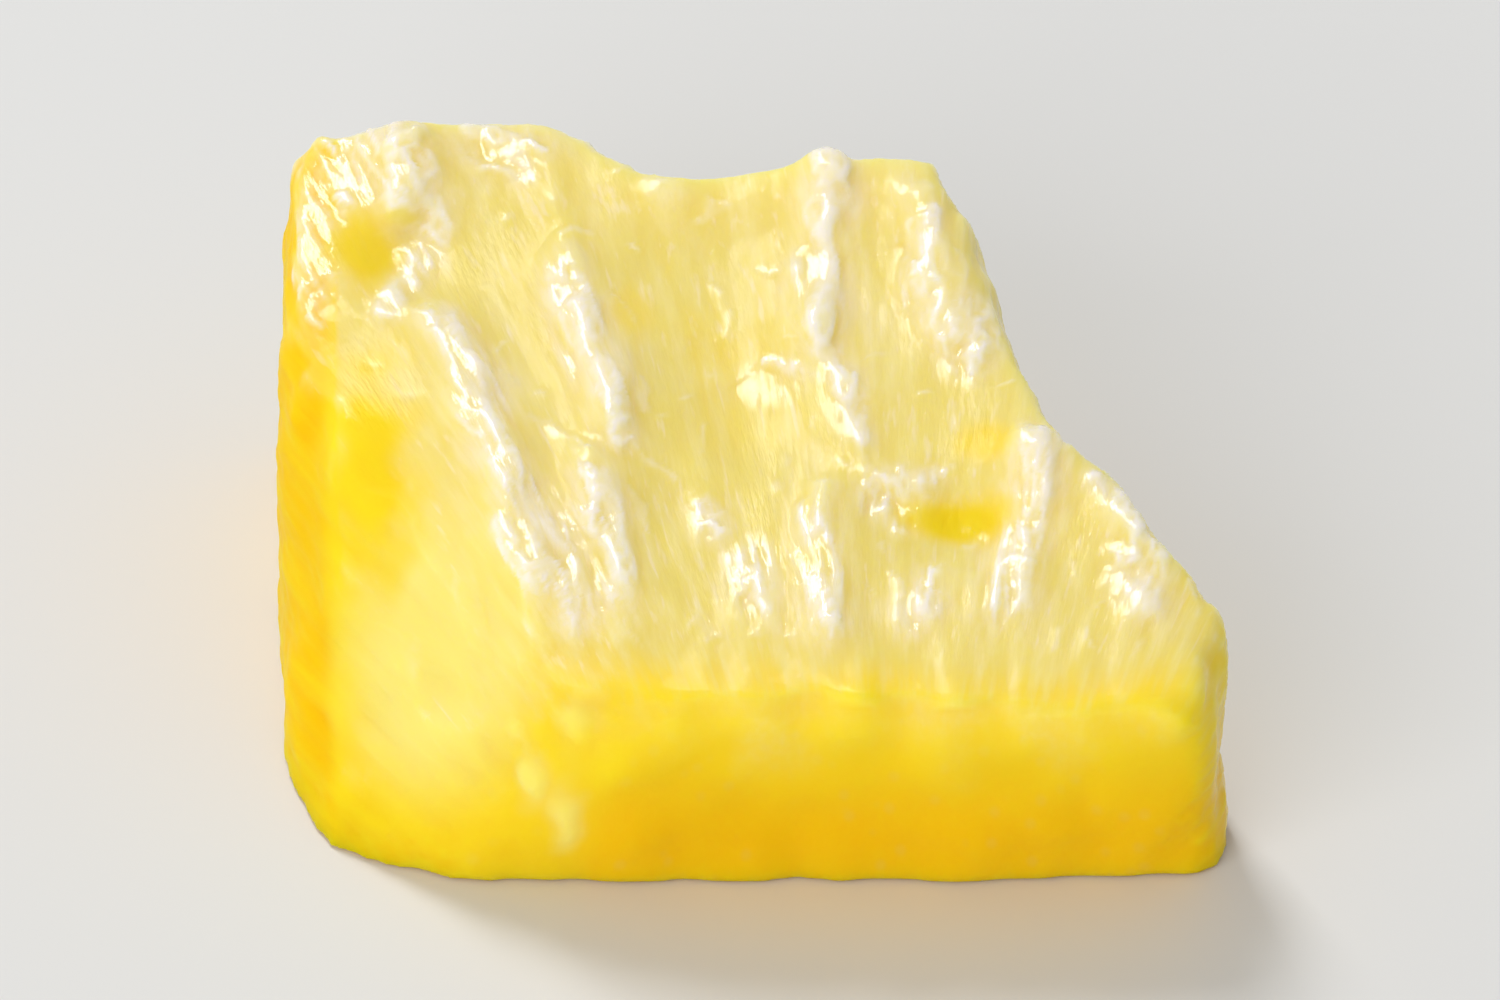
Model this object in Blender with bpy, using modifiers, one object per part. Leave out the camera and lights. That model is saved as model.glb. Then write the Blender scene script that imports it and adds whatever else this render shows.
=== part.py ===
"""A wedge of fresh pineapple flesh, cut by hand from a thick slice across the fruit.

Metres, +Z up. The wedge lies on its lower slice face. +Y is the side that faced the fruit's core, -Y the side
that faced the rind, and the fibres run between them. The origin is under the middle of the wedge's box.
"""

import math

import bmesh
import bpy
from mathutils import Vector, noise

MM = 0.001

# Corners of the wedge's lower face, anticlockwise seen from above.
FRONT_LEFT = Vector((-11.5, -9.0)) * MM
FRONT_RIGHT = Vector((11.6, -9.0)) * MM
RIGHT_TIP = Vector((11.9, -6.4)) * MM
CORE_RIGHT = Vector((5.0, 11.5)) * MM
CORE_LEFT = Vector((-11.2, 9.5)) * MM

# How far each side leans outwards as it rises.
FRONT_LEAN = math.radians(12)
TIP_LEAN = math.radians(-2)
RIGHT_LEAN = math.radians(-2)
CORE_LEAN = math.radians(2)
LEFT_LEAN = math.radians(1)

# The upper slice face rises towards the core.
FRONT_HEIGHT = 6.15 * MM
TOP_SLOPE = math.radians(8.5)

# The pared corner where the rind was trimmed away, by three points on its flat.
PARED_TOP_FRONT = Vector((-2.8, -10.3, 6.3)) * MM
PARED_TOP_LEFT = Vector((-11.2, 2.8, 8.2)) * MM
PARED_FOOT = Vector((-8.9, -9.0, 0.0)) * MM

# The knife's edges are rounded, most of all round the pared corner.
EDGE_ROUND = 0.75 * MM
PARED_EDGE_ROUND = 1.6 * MM
ROUND_SEGMENTS = 4
SHARP_ANGLE = math.radians(35)

# The knife wandered: the right cut bows in, and the core side has a step.
RIGHT_BOW = 1.5 * MM
BOW_DEEPEST = 0.42
BOW_REACH = 6.0 * MM
STEP_DEPTH = 2.7 * MM
STEP_LEFT = -5.6 * MM
STEP_RIGHT = -2.0 * MM
STEP_REACH = 6.0 * MM

# The fibres fan out from the middle of the fruit.
FRUIT_CENTRE = Vector((-10.0, 44.0)) * MM
FAN_RADIUS = 44.0 * MM

# Relief of the flesh: slow swells, rows of fibres side by side, and a rougher grain all over.
SWELL_LENGTH = 6.0 * MM
SWELL_HEIGHT = 0.26 * MM
ROW_WIDTH = 1.9 * MM
ROW_LENGTH = 7.0 * MM
ROW_HEIGHT = 0.26 * MM
ROW_SWAY = 0.8
ROW_MEAN = 0.5
ROW_SWELLING = 1.2
NEXT_ROW = 7.3
CUT_SIDE_SHARE = 0.6
GRAIN_SIZE = 1.3 * MM
GRAIN_HEIGHT = 0.14 * MM

# Thick bundles of fibres that stand proud of the upper face: both ends, half width and height.
BUNDLES = (
    (Vector((-8.3, 9.2)) * MM, Vector((-8.5, 6.9)) * MM, 0.70 * MM, 0.45 * MM),
    (Vector((-7.9, 3.4)) * MM, Vector((-6.2, -1.6)) * MM, 0.65 * MM, 0.50 * MM),
    (Vector((-6.2, -1.6)) * MM, Vector((-4.7, -7.2)) * MM, 0.85 * MM, 0.42 * MM),
    (Vector((-4.4, 5.2)) * MM, Vector((-3.2, -0.6)) * MM, 0.75 * MM, 0.52 * MM),
    (Vector((-3.9, -1.6)) * MM, Vector((-3.2, -7.6)) * MM, 0.60 * MM, 0.34 * MM),
    (Vector((1.9, 8.6)) * MM, Vector((1.5, 2.4)) * MM, 0.80 * MM, 0.50 * MM),
    (Vector((1.6, 1.6)) * MM, Vector((2.7, -1.8)) * MM, 0.55 * MM, 0.42 * MM),
    (Vector((1.7, -3.0)) * MM, Vector((1.9, -7.8)) * MM, 0.62 * MM, 0.50 * MM),
    (Vector((4.3, 7.0)) * MM, Vector((5.0, 2.6)) * MM, 0.70 * MM, 0.42 * MM),
    (Vector((6.9, -1.2)) * MM, Vector((7.3, -3.6)) * MM, 0.62 * MM, 0.46 * MM),
    (Vector((8.5, -2.4)) * MM, Vector((10.1, -5.4)) * MM, 0.55 * MM, 0.36 * MM),
)

# Hollows where small seed chambers were cut open: middle and half sizes along X and Y, and depth.
CHAMBERS = (
    (Vector((5.4, -4.2)) * MM, Vector((1.3, 1.0)) * MM, 0.65 * MM),
    (Vector((-0.6, 0.9)) * MM, Vector((1.5, 3.2)) * MM, 0.45 * MM),
    (Vector((-8.6, 5.6)) * MM, Vector((0.8, 1.3)) * MM, 0.5 * MM),
)

# A face counts as upper where its normal's Z is past the second value, and as a side below the first.
SIDE_FACING = 0.3
UPPER_FACING = 0.8

# Even cells of the surface, what is spare under the lower face until it is cut, and the block cut from.
FLESH_CELL = 0.5 * MM
SPARE_BELOW = 1.5 * MM
BLANK_SIZE = 60.0 * MM
CUT_TOLERANCE = 0.0001 * MM

FLESH_COLOUR = (0.92, 0.71, 0.12, 1.0)
FLESH_ROUGHNESS = 0.28
FLESH_SCATTER = 0.6
FLESH_SCATTER_REACH = 3.0 * MM
SHADE_ANGLE = math.radians(50)

DOWN = Vector((0.0, 0.0, -1.0))


def clear_scene():
    for old in list(bpy.data.objects):
        bpy.data.objects.remove(old)


def smooth_step(low, high, value):
    t = min(1.0, max(0.0, (value - low) / (high - low)))
    return t * t * (3.0 - 2.0 * t)


def side_cut(start, end, lean):
    """Point and outward direction of a side cut through two corners of the lower face."""
    along = (end - start).normalized()
    outward = Vector((along.y, -along.x, 0.0)) * math.cos(lean)
    return start.to_3d(), outward + DOWN * math.sin(lean)


def flat_through(a, b, c):
    """Point and upward direction of the flat through three points."""
    across = (b - a).cross(c - a).normalized()
    return a, across if across.z > 0.0 else -across


def knife_cuts():
    """Point and outward direction of each flat cut that frees the wedge from the slice."""
    front_top = Vector((0.0, FRONT_LEFT.y - FRONT_HEIGHT * math.tan(FRONT_LEAN), FRONT_HEIGHT))
    return (
        side_cut(FRONT_LEFT, FRONT_RIGHT, FRONT_LEAN),
        side_cut(FRONT_RIGHT, RIGHT_TIP, TIP_LEAN),
        side_cut(RIGHT_TIP, CORE_RIGHT, RIGHT_LEAN),
        side_cut(CORE_RIGHT, CORE_LEFT, CORE_LEAN),
        side_cut(CORE_LEFT, FRONT_LEFT, LEFT_LEAN),
        (front_top, Vector((0.0, -math.sin(TOP_SLOPE), math.cos(TOP_SLOPE)))),
        flat_through(PARED_TOP_FRONT, PARED_TOP_LEFT, PARED_FOOT),
        (DOWN * SPARE_BELOW, DOWN),
    )


def cut_away(flesh, point, outward):
    """Cuts a closed mesh along a plane, drops the outer part and closes the cut."""
    everything = flesh.verts[:] + flesh.edges[:] + flesh.faces[:]
    cut = bmesh.ops.bisect_plane(
        flesh, geom=everything, dist=CUT_TOLERANCE, plane_co=point, plane_no=outward, clear_outer=True
    )
    rim = [item for item in cut["geom_cut"] if isinstance(item, bmesh.types.BMEdge)]
    bmesh.ops.holes_fill(flesh, edges=rim)


def round_edges(flesh, edges, width):
    bmesh.ops.bevel(
        flesh, geom=edges, offset=width, segments=ROUND_SEGMENTS, profile=0.5, affect="EDGES", material=-1
    )


def cut_wedge():
    """The wedge with flat cuts and rounded edges."""
    flesh = bmesh.new()
    bmesh.ops.create_cube(flesh, size=BLANK_SIZE)
    for point, outward in knife_cuts():
        cut_away(flesh, point, outward)
    pared = flat_through(PARED_TOP_FRONT, PARED_TOP_LEFT, PARED_FOOT)[1]
    corner = max(flesh.faces, key=lambda face: face.normal.dot(pared))
    soft = [edge for edge in corner.edges if edge.calc_length() > PARED_EDGE_ROUND]
    round_edges(flesh, soft, PARED_EDGE_ROUND)
    sharp = [edge for edge in flesh.edges if edge.calc_face_angle(0.0) > SHARP_ANGLE]
    round_edges(flesh, sharp, EDGE_ROUND)
    return flesh


def even_mesh(flesh):
    """The same solid with its surface in even cells, so that it can take relief."""
    coarse = bpy.data.meshes.new("flat_cuts")
    flesh.to_mesh(coarse)
    flesh.free()
    blank = bpy.data.objects.new("flat_cuts", coarse)
    bpy.context.scene.collection.objects.link(blank)
    remesh = blank.modifiers.new("cells", "REMESH")
    remesh.mode = "VOXEL"
    remesh.voxel_size = FLESH_CELL
    bpy.context.view_layer.update()
    seen = blank.evaluated_get(bpy.context.evaluated_depsgraph_get())
    even = bmesh.new()
    even.from_mesh(seen.to_mesh())
    seen.to_mesh_clear()
    bpy.data.objects.remove(blank)
    bpy.data.meshes.remove(coarse)
    return even


def knife_wander(place):
    """Sideways shift of a point, for the bowed right cut and the stepped core side."""
    run = CORE_RIGHT - RIGHT_TIP
    inward = Vector((-run.y, run.x)).normalized()
    offset = place.to_2d() - RIGHT_TIP
    along = offset.dot(run) / run.length_squared
    near_right = 1.0 - smooth_step(0.0, BOW_REACH, offset.dot(inward))
    bow = RIGHT_BOW * smooth_step(0.0, BOW_DEEPEST, along) * smooth_step(1.0, BOW_DEEPEST, along) * near_right
    near_core = smooth_step(CORE_RIGHT.y - STEP_REACH, CORE_RIGHT.y, place.y)
    step = STEP_DEPTH * smooth_step(STEP_LEFT, STEP_RIGHT, place.x) * near_core
    return (inward * bow).to_3d() - Vector((0.0, step, 0.0))


def hand_cut_wedge():
    """The wedge with its flat cuts bent as the knife wandered, again in even cells."""
    flesh = even_mesh(cut_wedge())
    for vert in flesh.verts:
        vert.co += knife_wander(vert.co)
    return even_mesh(flesh)


def fibre_place(place):
    """Place across the fibres, along them and upwards, in the fan of fibres."""
    out = place.to_2d() - FRUIT_CENTRE
    return Vector((math.atan2(out.x, -out.y) * FAN_RADIUS, out.length, place.z))


def chamber_depth(place):
    """How far the opened seed chambers lower the upper face here."""
    total = 0.0
    for middle, half, depth in CHAMBERS:
        offset = place.to_2d() - middle
        reach = (offset.x / half.x) ** 2 + (offset.y / half.y) ** 2
        total += depth * math.exp(-reach)
    return total


def row_height(fibre):
    """Height over the valleys between the rows of fibres, which sway and swell along their length."""
    sway = noise.noise(fibre / ROW_LENGTH)
    across = fibre.x / ROW_WIDTH + ROW_SWAY * sway
    row = math.floor(across)
    round_top = 1.0 - (2.0 * (across - row) - 1.0) ** 2
    swelling = noise.noise(Vector((row * NEXT_ROW, fibre.y / ROW_LENGTH, fibre.z / ROW_WIDTH)))
    return ROW_HEIGHT * round_top * max(0.0, ROW_MEAN + ROW_SWELLING * swelling)


def bundle_height(place):
    """Height of the thick bundles of fibres here."""
    height = 0.0
    for start, end, half_width, proud in BUNDLES:
        run = end - start
        along = min(1.0, max(0.0, (place.to_2d() - start).dot(run) / run.length_squared))
        reach = (place.to_2d() - start - along * run).length / half_width
        height = max(height, proud * math.exp(-reach ** 2))
    return height


def relief(place, normal):
    """Height of the surface over the flat cuts here."""
    facing_up = smooth_step(SIDE_FACING, UPPER_FACING, normal.z)
    share = CUT_SIDE_SHARE + (1.0 - CUT_SIDE_SHARE) * facing_up
    swell = SWELL_HEIGHT * noise.noise(place / SWELL_LENGTH)
    grain = GRAIN_HEIGHT * noise.noise(place / GRAIN_SIZE)
    rows = share * row_height(fibre_place(place))
    return swell + grain + rows + facing_up * (bundle_height(place) - chamber_depth(place))


def raise_relief(flesh):
    flesh.normal_update()
    moves = [vert.normal * relief(vert.co, vert.normal) for vert in flesh.verts]
    for vert, move in zip(flesh.verts, moves):
        vert.co += move


def pineapple_flesh():
    material = bpy.data.materials.new("pineapple_flesh")
    material.use_nodes = True
    surface = material.node_tree.nodes["Principled BSDF"]
    surface.inputs["Base Color"].default_value = FLESH_COLOUR
    surface.inputs["Roughness"].default_value = FLESH_ROUGHNESS
    surface.inputs["Metallic"].default_value = 0.0
    surface.inputs["Subsurface Weight"].default_value = FLESH_SCATTER
    surface.inputs["Subsurface Scale"].default_value = FLESH_SCATTER_REACH
    return material


def centre_on_base(flesh):
    """Puts the middle of the box's lower face at the origin."""
    xs = [vert.co.x for vert in flesh.verts]
    ys = [vert.co.y for vert in flesh.verts]
    middle = Vector(((min(xs) + max(xs)) / 2.0, (min(ys) + max(ys)) / 2.0, 0.0))
    bmesh.ops.translate(flesh, verts=flesh.verts, vec=-middle)


def pineapple_chunk(collection):
    flesh = hand_cut_wedge()
    raise_relief(flesh)
    cut_away(flesh, Vector(), DOWN)
    centre_on_base(flesh)
    bmesh.ops.triangulate(flesh, faces=flesh.faces[:])
    mesh = bpy.data.meshes.new("pineapple_chunk")
    flesh.to_mesh(mesh)
    flesh.free()
    mesh.shade_smooth()
    mesh.set_sharp_from_angle(angle=SHADE_ANGLE)
    mesh.materials.append(pineapple_flesh())
    chunk = bpy.data.objects.new("pineapple_chunk", mesh)
    collection.objects.link(chunk)


def main():
    clear_scene()
    collection = bpy.data.collections.new("pineapple chunk")
    bpy.context.scene.collection.children.link(collection)
    pineapple_chunk(collection)


main()
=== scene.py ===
"""The looks of a hand-cut wedge of fresh pineapple: pale, wet and fibrous on top, golden on its sides."""

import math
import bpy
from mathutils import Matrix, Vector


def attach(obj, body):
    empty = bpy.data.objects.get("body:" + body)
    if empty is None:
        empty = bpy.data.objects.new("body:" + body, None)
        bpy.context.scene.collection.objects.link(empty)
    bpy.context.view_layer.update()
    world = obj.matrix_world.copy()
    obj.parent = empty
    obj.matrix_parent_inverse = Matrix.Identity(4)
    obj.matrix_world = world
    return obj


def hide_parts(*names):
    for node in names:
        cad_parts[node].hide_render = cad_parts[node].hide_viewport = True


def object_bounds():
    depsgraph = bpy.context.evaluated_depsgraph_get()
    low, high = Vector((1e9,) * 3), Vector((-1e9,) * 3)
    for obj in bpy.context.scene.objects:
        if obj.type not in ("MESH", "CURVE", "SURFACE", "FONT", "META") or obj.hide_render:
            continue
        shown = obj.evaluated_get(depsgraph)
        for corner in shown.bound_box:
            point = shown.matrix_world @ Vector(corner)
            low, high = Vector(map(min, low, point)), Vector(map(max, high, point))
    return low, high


bl_info = {
    "name": "Pineapple Chunk",
    "version": (1, 0, 0),
    "blender": (4, 5, 0),
    "location": "3D View > Sidebar > Pineapple",
    "description": "Dresses a wedge of pineapple with wet fibrous flesh and sets a pale studio round it",
    "category": "Object",
}

import bmesh
import bpy
import numpy as np
from bpy.props import FloatProperty, FloatVectorProperty, PointerProperty
from mathutils import Matrix, Vector, noise

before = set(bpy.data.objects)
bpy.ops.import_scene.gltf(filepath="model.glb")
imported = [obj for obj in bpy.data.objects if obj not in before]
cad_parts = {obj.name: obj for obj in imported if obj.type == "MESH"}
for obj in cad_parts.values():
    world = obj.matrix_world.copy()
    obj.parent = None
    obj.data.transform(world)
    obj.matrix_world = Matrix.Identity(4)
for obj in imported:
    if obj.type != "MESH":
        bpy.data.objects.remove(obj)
CAD_LOW, CAD_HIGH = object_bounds()

MM = 0.001
NODE = "pineapple_chunk"
MIDDLE = (CAD_LOW + CAD_HIGH) / 2.0

# The fibres draw together towards a place in front of the wedge, and have their true widths this far off.
FAN_CENTRE = Vector((3.7, -30.0, 0.0)) * MM
FAN_RADIUS = 30.0 * MM

# The upper face rises to the back from this line near the front edge and this height.
FRONT_LINE = -9.0 * MM
FRONT_HEIGHT = 6.15 * MM
TOP_RISE = math.tan(math.radians(8.5))

# Below this height the walls are carried straight down to the floor.
FOOT = 0.85 * MM

# Above this height, a surface that faces down further than this is a lip, which is smoothed away.
LIP_HEIGHT = 5.0 * MM
LIP_FACING = -0.2
LIP_GAIN = 6.0

# Vertices nearer together than this are one, lower than this they lie on the floor, and faces there that
# turn by less than this are one.
WELD = 0.001 * MM
TOUCHING = 0.0001 * MM
FLAT_ANGLE = math.radians(0.5)

# Rounds of averaging over the small cells: the more rounds, the wider the forms that they even out.
CREST_ROUNDS = 6
LIP_ROUNDS = 14
SOFTEN_ROUNDS = 22
SOFTEN_FACTOR = 0.5
RELAX_ROUNDS = 26
CORNER_ROUNDS = 45
BULGE_ROUNDS = 140
LEVEL_ROUNDS = 300

# A trace of weight keeps the average depth of the upper face from dividing by nothing beside it.
TRACE = 0.001

# How steeply a noise rises to the crests where it crosses zero.
CREST_SLOPE = 2.6

# The ways that the pared corner and the unseen sides face.
PARED_FACING = (-0.67, -0.51, 0.54)
AWAY_FACING = (0.5, 0.8, 0.0)

# How squarely a surface has to face one way: where its mask starts, and where it is full.
FACES_UP = (0.55, 0.85)
FACES_FRONT = (0.3, 0.6)
FACES_LEFT = (0.3, 0.7)
FACES_BACK = (0.2, 0.7)
FACES_CORE = (0.4, 0.8)
FACES_AWAY = (0.1, 0.5)
FACES_PARED = (0.6, 0.9)
CUTS_FIBRES = (0.55, 0.9)
WANDERS = (0.4, 0.8)

# Between the first height and the second, the sides go over into the lower face.
LOWER_BAND = (0.5 * MM, 0.02 * MM)

# An edge is a knife's edge where it stands this far over its surroundings, and this far over the floor.
CORNER_BAND = (0.02 * MM, 0.14 * MM)
CORNER_HEIGHTS = (1.0 * MM, 2.5 * MM)

# The torn fibres stop short of the front edge, which the knife left smooth.
TORN_BAND = (-9.2 * MM, -7.9 * MM)
TORN_STRAY = 0.8 * MM

# The upper face is left soft inside these lines, at the front and the back alike.
INNER_BAND = (-9.5 * MM, -6.5 * MM)

# Shares of the solid's own ridges and hollows that the upper face keeps, and the height of a full ridge.
RIDGE_KEPT = 0.6
HOLLOW_KEPT = 0.2
FULL_RIDGE = 0.16 * MM

# The edges that face back are sharpened less, by this share.
BACK_CALM = 0.7

# Noises: a length in millimetres for each axis, and a shift. Where a noise follows the fibres, its axes run
# across them, along them and upwards.
NOISES = {
    "sway sideways": ((1.5, 1.9, 3.0), 7.0),
    "sway lengthwise": ((1.5, 1.9, 3.0), 71.0),
    "frayed ends": ((0.35, 2.6, 0.35), 83.0),
    "bent bundles": ((1.1, 1.1, 1.1), 7.0),
    "broken bundles": ((0.7, 1.5, 0.7), 113.0),
    "fading bundles": ((1.7, 1.7, 1.7), 47.0),
    "torn limit": ((1.6, 1.6, 1.6), 19.0),
    "flecks": ((1.3, 2.2, 1.3), 97.0),
    "places of flecks": ((0.8, 0.8, 0.8), 131.0),
    "worn edges": ((1.4, 1.4, 1.4), 11.0),
    "pits": ((0.6, 1.1, 0.6), 29.0),
    "ripples": ((0.9, 3.2, 0.9), 53.0),
    "grains": ((0.27, 0.27, 0.27), 5.0),
    "lumps": ((1.0, 1.0, 1.0), 41.0),
    "strands": ((0.55, 9.0, 0.55), 61.0),
    "outline of blisters": ((0.8, 0.8, 0.8), 151.0),
    "outline of patches": ((1.3, 1.3, 1.3), 173.0),
}
THREAD_SHIFT = 17.0
BEAD_SHIFT = 3.0

# Bundles of torn fibres on the upper face: points along each, in millimetres, with the half width there.
BUNDLES = (
    ((-9.1, 9.2, 0.50), (-9.15, 7.1, 0.50), (-8.6, 6.5, 0.35)),
    ((-8.3, 8.2, 0.35), (-7.75, 6.5, 0.40), (-8.1, 5.4, 0.38), (-9.0, 3.4, 0.30)),
    ((-7.0, 9.6, 0.25), (-5.9, 9.2, 0.28), (-5.55, 7.8, 0.22)),
    (
        (-7.6, 3.0, 0.35),
        (-6.7, 0.3, 0.60),
        (-6.3, -2.1, 0.45),
        (-5.4, -4.0, 0.45),
        (-4.6, -5.2, 0.45),
        (-4.4, -7.3, 0.46),
    ),
    ((-6.2, -4.7, 0.38), (-5.6, -6.0, 0.45), (-4.8, -6.5, 0.35)),
    ((-4.7, 4.2, 0.42), (-4.15, 2.9, 0.58), (-3.6, 0.4, 0.42), (-3.15, -1.5, 0.30)),
    ((-3.9, -3.0, 0.40), (-3.6, -4.4, 0.45), (-3.3, -5.9, 0.40), (-3.5, -7.2, 0.36)),
    (
        (1.95, 8.4, 0.45),
        (1.95, 6.2, 0.48),
        (1.7, 3.9, 0.62),
        (1.85, 2.0, 0.50),
        (2.4, 0.6, 0.38),
        (2.75, -1.5, 0.26),
    ),
    ((1.4, -4.1, 0.30), (1.8, -5.7, 0.42), (1.85, -7.8, 0.45)),
    ((0.4, 1.7, 0.12), (1.1, 1.3, 0.16), (1.8, 0.7, 0.20)),
    ((4.5, 6.2, 0.22), (4.3, 4.3, 0.34), (4.35, 3.1, 0.50), (4.8, 2.1, 0.28)),
    ((5.6, 2.6, 0.14), (5.5, 1.0, 0.16)),
    ((7.1, -1.8, 0.48), (7.0, -3.9, 0.42), (6.4, -5.7, 0.40), (6.3, -7.1, 0.50)),
    ((8.5, -2.9, 0.22), (9.2, -4.0, 0.25), (10.0, -5.4, 0.28)),
    ((9.4, -5.8, 0.30), (9.7, -7.0, 0.48)),
    ((4.4, -6.0, 0.30), (4.1, -7.3, 0.48)),
    ((-1.2, -3.6, 0.24), (-0.9, -4.5, 0.30)),
    ((-0.3, -5.4, 0.26), (0.1, -6.3, 0.44), (0.2, -7.2, 0.42)),
    ((3.1, -2.9, 0.22), (4.0, -2.9, 0.26), (4.6, -2.5, 0.20)),
    ((3.1, -3.6, 0.24), (3.7, -4.3, 0.24)),
)

# A bundle's form, in its half widths: how high it rises, how softly it ends, how far it frays and bends.
BUNDLE_RISE = 0.32
BUNDLE_SOFTNESS = 1.5
BUNDLE_FRAY = 0.5
BUNDLE_BEND = 0.2

# A bundle is higher and lower along its length: the mean, the swing, and the least and the most of it.
BUNDLE_WHOLE = 0.75
BUNDLE_SWING = 1.1
BUNDLE_LIMITS = (0.25, 1.1)

# A bundle looks whitish further out than it rises, by a power below 1, and also where it is half broken.
WHITE_WIDENS = 0.75
WHITE_HOLDS = 0.35

# That whitish look fades in and out: the mean and the swing.
FADING_MEAN = 0.75
FADING_SWING = 0.7

# Rougher places on the upper face: middle and half sizes in millimetres, and strength. A fade says how far
# out, in half sizes, a patch starts and where it is full.
RAGGED = (
    ((-9.4, 8.2), (1.4, 2.2), 0.8),
    ((-10.7, 5.8), (0.7, 2.8), 0.6),
    ((-6.2, 9.0), (1.8, 1.0), 0.5),
    ((-5.5, -5.6), (0.9, 1.3), 0.8),
    ((-1.0, -4.0), (0.5, 0.7), 0.6),
    ((0.1, -6.0), (0.7, 1.4), 0.7),
    ((0.6, 1.0), (1.3, 0.9), 0.35),
    ((4.3, 4.2), (0.7, 2.2), 0.6),
    ((5.4, 2.2), (0.9, 1.6), 0.9),
    ((3.6, -3.3), (1.1, 1.1), 0.8),
    ((6.7, -5.2), (0.6, 2.0), 0.6),
    ((9.5, -6.0), (0.9, 1.5), 0.7),
)
RAGGED_FADE = (1.3, 0.5)

# Tearing runs from 0, for flesh that the knife left smooth, to 1. The upper face has a little all over,
# the solid's own ridges have more, and bundles have most, between the two shares of TEAR_BAND.
TEAR_LEAST = 0.12
TEAR_ON_RIDGES = 0.4
TEAR_BAND = (0.3, 0.9)
TEAR_ROUGHENS = 0.65

# Flecks are thin crests of a noise, kept in patches, with the fewest where the face isn't ragged.
FLECK_CRESTS = (0.6, 0.95)
FLECK_PATCHES = (0.05, 0.3)
FLECK_RAGGED = (0.0, 0.5)
FLECK_LEAST = 0.45

# How whitish the solid's own ridges, the ragged places, the flecks and the gaps between threads are. The
# whitish look is partly the pale torn fibres and partly painted highlight; on the flecks it is a painted
# glint.
WHITE_ON_RIDGES = 0.3
WHITE_RAGGED = 0.5
PAINTED_GLINT_ON_FLECKS = 0.75
WHITE_BETWEEN_THREADS = 0.6

# The knife's edges are worn in patches, up to this share, and less by half on the upper face itself.
WEAR_BAND = (-0.3, 0.4)
WEAR_SHARE = 0.7
WEAR_ABOVE = 0.5

# Shares of the fine relief: threads on smooth flesh, torn flesh and the flanks, and ripples on the sides.
THREADS_SMOOTH = 0.15
THREADS_TORN = 0.85
THREADS_ON_FLANKS = 0.5
RIPPLES_LEAST = 0.12

# Where a noise starts to make a bead or a pit, and where it makes the whole of it.
BEAD_BAND = (0.0, 0.55)
PIT_BAND = (0.2, 0.5)

# Fibre ends are drawn out this many times along the fibres, and off the front they stand this much prouder.
STUB_STRETCH = 4.0
STUBS_OFF_FRONT = 4.0

# The lumps of the worn edges start at the first depth under the slice face and are full at the second.
EDGE_LUMP_DEPTHS = (2.5 * MM, 1.0 * MM)

# Opened seed chambers and ripe patches, more golden than the rest, as middle, half sizes and strength. The
# last three, at the left border and where the pared corner turns into the front, are painted half shade.
RIPE_AND_SHADED_PATCHES = (
    ((5.1, -3.9, 7.0), (1.35, 0.75, 2.0), 1.0),
    ((-9.6, 5.4, 8.4), (0.8, 1.2, 2.0), 0.9),
    ((5.8, -1.4, 7.8), (0.7, 0.6, 2.0), 0.7),
    ((-2.9, 3.3, 8.2), (0.45, 1.3, 2.0), 0.4),
    ((-0.6, 0.9, 7.4), (1.3, 3.0, 2.0), 0.15),
    ((-9.3, -1.5, 6.7), (1.2, 3.3, 2.6), 1.0),
    ((-10.4, -6.5, 4.0), (0.9, 1.5, 2.2), 0.8),
    ((-3.8, -9.9, 4.6), (1.0, 1.0, 1.0), 0.8),
)
RIPE_AND_SHADED_FADE = (1.5, 0.4)
RIPE_AND_SHADED_UNEVEN = 0.5

# The pale middle of the pared corner, painted light where that corner faces the lamps, and how pale the
# core's side and the blisters are beside it; the core's side is paler flesh in truth.
PAINTED_LIGHT_PATCHES = (((-7.4, -6.0, 4.4), (3.2, 3.8, 3.4), 1.0),)
PAINTED_LIGHT_FADE = (1.25, 0.55)
PALE_CORE_SIDE = 0.25
PALE_BLISTERS = 0.8

# Blisters on the pared corner: middle, half sizes and height, in millimetres.
BLISTERS = (
    ((-6.1, -9.0, 4.6), (0.45, 0.60, 0.9), 0.13),
    ((-5.3, -9.4, 3.4), (0.40, 0.55, 0.8), 0.15),
    ((-4.1, -9.9, 5.0), (0.50, 0.70, 0.6), 0.15),
    ((-4.6, -9.6, 2.4), (0.40, 0.60, 0.8), 0.12),
)
BLISTER_FADE = (1.9, 0.1)
BLISTER_UNEVEN = 0.9

# A crest this high over its surroundings takes the full whitish look: a painted highlight on the crests of
# torn flesh and worn edges.
CREST_HEIGHT = 0.03 * MM

# How wet the smooth flesh, the torn flesh and the sides that face away are.
WET_SMOOTH = 0.14
WET_TORN = 0.75
WET_AWAY = 0.6
WET_BAND = (0.1, 0.6)

# How far the sides that face away show fine lines, and how far they hide their fibre ends.
OPEN_AWAY = 0.5
ENDS_HIDDEN_AWAY = 0.8

# The colours follow the depth under the slice face, yellow to golden down the sides: partly the flesh's own
# colour towards the rind, partly painted shade that deepens towards the floor. Beyond these lines the flesh
# counts as this much deeper.
# Beyond the left line the gold is partly the deeper flesh by the rind, and partly painted shade on the left
# wall.
LEFT_BAND = (-10.0 * MM, -10.8 * MM)
LEFT_GOLD_AND_SHADE = 4.2 * MM
# Beyond the right line the deeper gold is painted shade on the right corner.
RIGHT_BAND = (9.8 * MM, 11.0 * MM)
RIGHT_PAINTED_SHADE = 0.2 * MM
# Near the floor the pared corner, and the left wall by a lesser share, count as deeper: painted shade at the
# foot.
FOOT_BAND = (1.1 * MM, 0.1 * MM)
FOOT_PAINTED_SHADE = 2.2 * MM
FOOT_PAINTED_SHADE_LEFT = 0.4

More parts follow.
